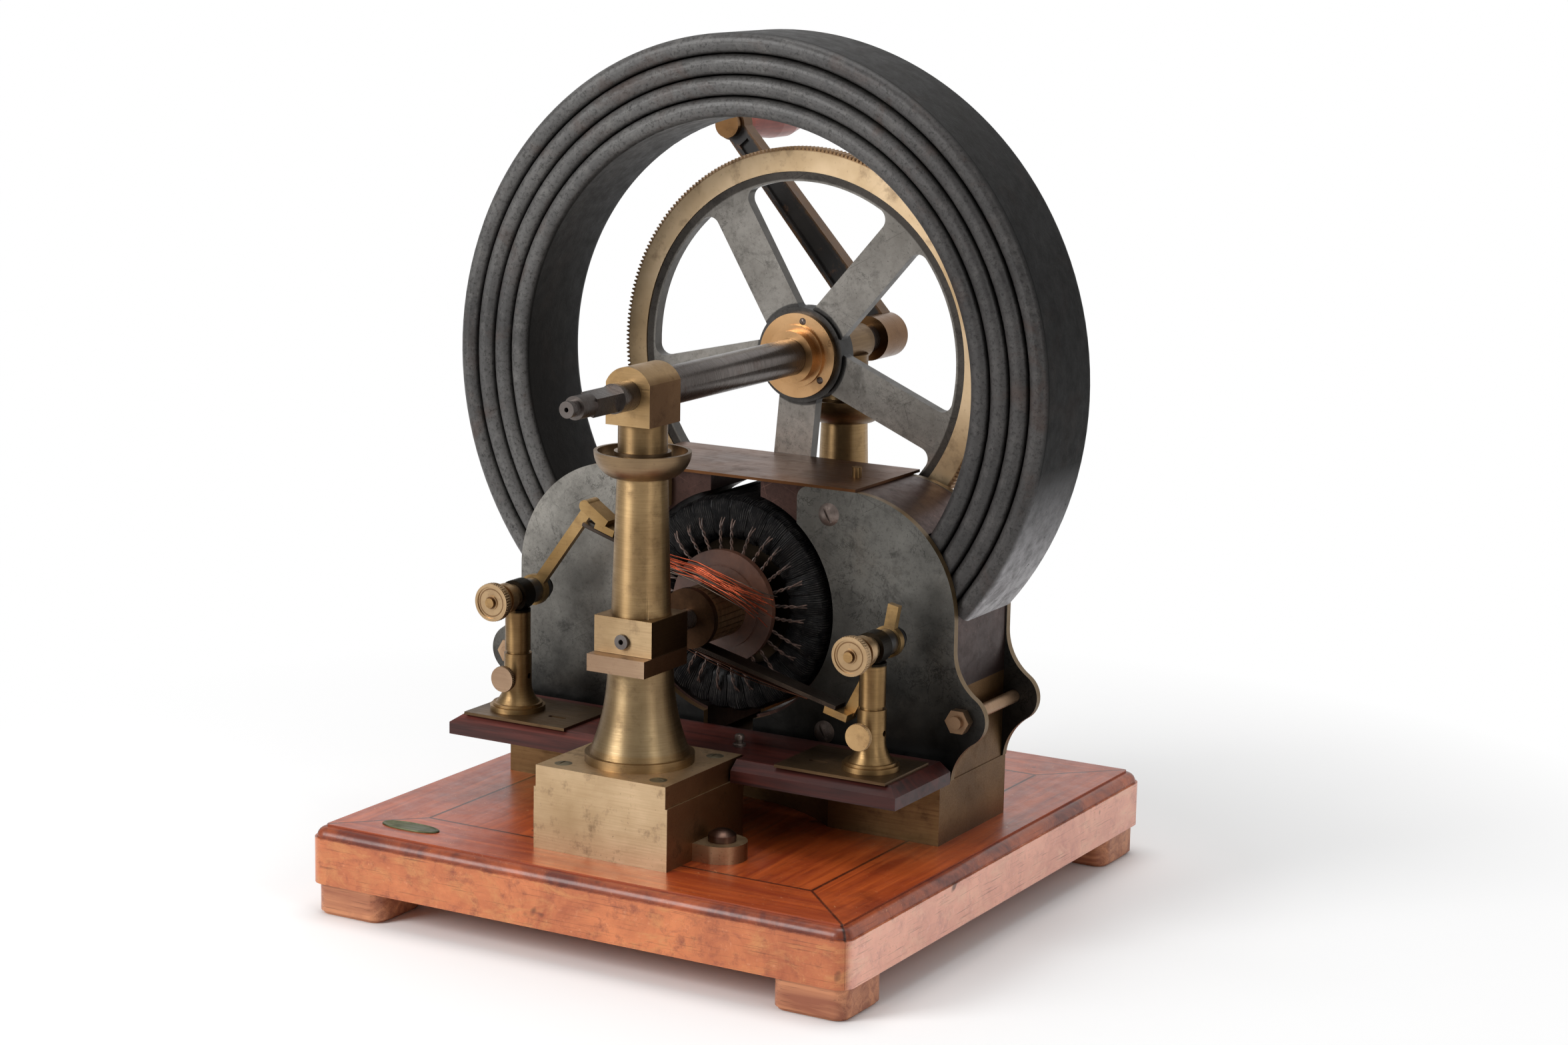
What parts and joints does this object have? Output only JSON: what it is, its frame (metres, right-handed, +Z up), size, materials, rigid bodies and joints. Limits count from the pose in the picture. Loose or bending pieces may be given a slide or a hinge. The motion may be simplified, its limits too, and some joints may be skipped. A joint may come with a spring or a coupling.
{
  "type": "hand cranked dynamo",
  "caption": "Hand-cranked generator: laminated ring magnet over a wound ring armature, geared wheel, crank, brass pillars, brushes and terminal posts on a wooden base.",
  "frame": {"origin": "middle of the whole machine's box, on the surface that the feet stand on", "axes": "+X to the right seen from the commutator's side, +Y back towards the crank, +Z up"},
  "size_m": [0.468, 0.5125, 0.599],
  "materials": {
    "base_wood": "faded varnish",
    "panel_wood": "faded varnish",
    "foot_wood": "varnish",
    "board_wood": "dark varnish",
    "grip_wood": "varnish",
    "bed_brass": "aged, brushed",
    "block_brass": "brushed",
    "column_brass": "turned, lacquered",
    "head_brass": "brushed",
    "cup_bronze": "aged",
    "terminal_brass": "dull",
    "screw_brass": "aged",
    "screw_steel": "aged",
    "pole_iron": "satin",
    "plate_steel": "scratched",
    "magnet_iron": "blackened, satin",
    "guard_brass": "aged sheet",
    "shaft_steel": "polished",
    "gear_brass": "turned",
    "spider_steel": "scratched",
    "hub_bronze": "turned",
    "crank_black": "worn black",
    "pinion_steel": "cut",
    "core_iron": "plain",
    "coil_silk": "silk-covered wire",
    "ring_hub_brass": "aged",
    "commutator_brass": "worn",
    "flange_fibre": "brown fibre",
    "lead_wire": "cotton-covered wire",
    "post_brass": "turned, lacquered",
    "sleeve_ebonite": "ebonite",
    "arm_brass": "brushed",
    "brush_copper": "copper wire",
    "brush_dark": "dull"
  },
  "bodies": {
    "frame": {"base_frame": "base_wood", "base_panel": "panel_wood", "base_feet": "foot_wood", "terminal_board": "board_wood", "bed": "bed_brass", "pole_spacers": "bed_brass", "front_block": "block_brass", "rear_block": "block_brass", "top_plates": "block_brass", "front_column": "column_brass", "rear_column": "column_brass", "front_head": "head_brass", "bearing_lips": "head_brass", "drip_cups": "cup_bronze", "rear_head": "cup_bronze", "terminal_plates": "terminal_brass", "pillar_screws": "screw_brass", "guard_pins": "screw_brass", "tie_bolts": "screw_brass", "lug_bolts": "screw_steel", "plate_screws": "screw_steel", "pole_left": "pole_iron", "pole_right": "pole_iron", "front_plate_left": "plate_steel", "front_plate_right": "plate_steel", "rear_plates": "plate_steel", "magnet_leaf_1": "magnet_iron", "magnet_leaf_2": "magnet_iron", "magnet_leaf_3": "magnet_iron", "magnet_leaf_4": "magnet_iron", "guard_plate": "guard_brass", "post_left": "post_brass", "post_right": "post_brass"},
    "drive": {"drive_shaft": "shaft_steel", "gear_ring": "gear_brass", "wheel_spider": "spider_steel", "hub_flange": "hub_bronze", "hub_screws": "screw_steel", "crank_boss": "hub_bronze", "crank_arm": "crank_black", "crank_pin": "hub_bronze"},
    "handle": {"handle_grip": "grip_wood"},
    "armature": {"armature_shaft": "shaft_steel", "pinion": "pinion_steel", "ring_core": "core_iron", "ring_coils": "coil_silk", "ring_hub": "ring_hub_brass", "commutator": "commutator_brass", "commutator_flange": "flange_fibre", "coil_leads": "lead_wire"},
    "brush_arm_left": {"sleeve_left": "sleeve_ebonite", "arm_left": "arm_brass", "brush_left": "brush_copper"},
    "brush_arm_right": {"sleeve_right": "sleeve_ebonite", "arm_right": "arm_brass", "brush_right": "brush_dark"},
    "clamp_knob_left": {"knob_left": "post_brass"},
    "clamp_knob_right": {"knob_right": "post_brass"},
    "wire_screw_left": {"thumb_screw_left": "post_brass"},
    "wire_screw_right": {"thumb_screw_right": "post_brass"}
  },
  "joints": [
    {"name": "drive_spin", "type": "hinge", "parent": "frame", "child": "drive", "pos_m": [0, -0.007, 0.3696], "axis": [0, 1, 0], "continuous": true},
    {"name": "armature_spin", "type": "hinge", "parent": "frame", "child": "armature", "pos_m": [0, -0.007, 0.2056], "axis": [0, 1, 0], "continuous": true},
    {"name": "handle_spin", "type": "hinge", "parent": "drive", "child": "handle", "pos_m": [-0.13186, 0.21625, 0.51864], "axis": [0, 1, 0], "continuous": true},
    {"name": "brush_left_swing", "type": "hinge", "parent": "frame", "child": "brush_arm_left", "pos_m": [-0.142, -0.08635, 0.2041], "axis": [0, -1, 0], "range_deg": [0, 25]},
    {"name": "brush_right_swing", "type": "hinge", "parent": "frame", "child": "brush_arm_right", "pos_m": [0.142, -0.08635, 0.2041], "axis": [0, -1, 0], "range_deg": [0, 15]},
    {"name": "knob_left_turn", "type": "hinge", "parent": "frame", "child": "clamp_knob_left", "pos_m": [-0.142, -0.12225, 0.2041], "axis": [0, 1, 0], "range_deg": [-90, 0]},
    {"name": "knob_right_turn", "type": "hinge", "parent": "frame", "child": "clamp_knob_right", "pos_m": [0.142, -0.12225, 0.2041], "axis": [0, 1, 0], "range_deg": [-90, 0]},
    {"name": "wire_screw_left_turn", "type": "hinge", "parent": "frame", "child": "wire_screw_left", "pos_m": [-0.142, -0.12225, 0.1465], "axis": [0, 1, 0], "range_deg": [-90, 0]},
    {"name": "wire_screw_right_turn", "type": "hinge", "parent": "frame", "child": "wire_screw_right", "pos_m": [0.142, -0.12225, 0.1465], "axis": [0, 1, 0], "range_deg": [-90, 0]}
  ],
  "couplings": [
    {"joint": "armature_spin", "follows": "drive_spin", "ratio": -8.1111}
  ]
}
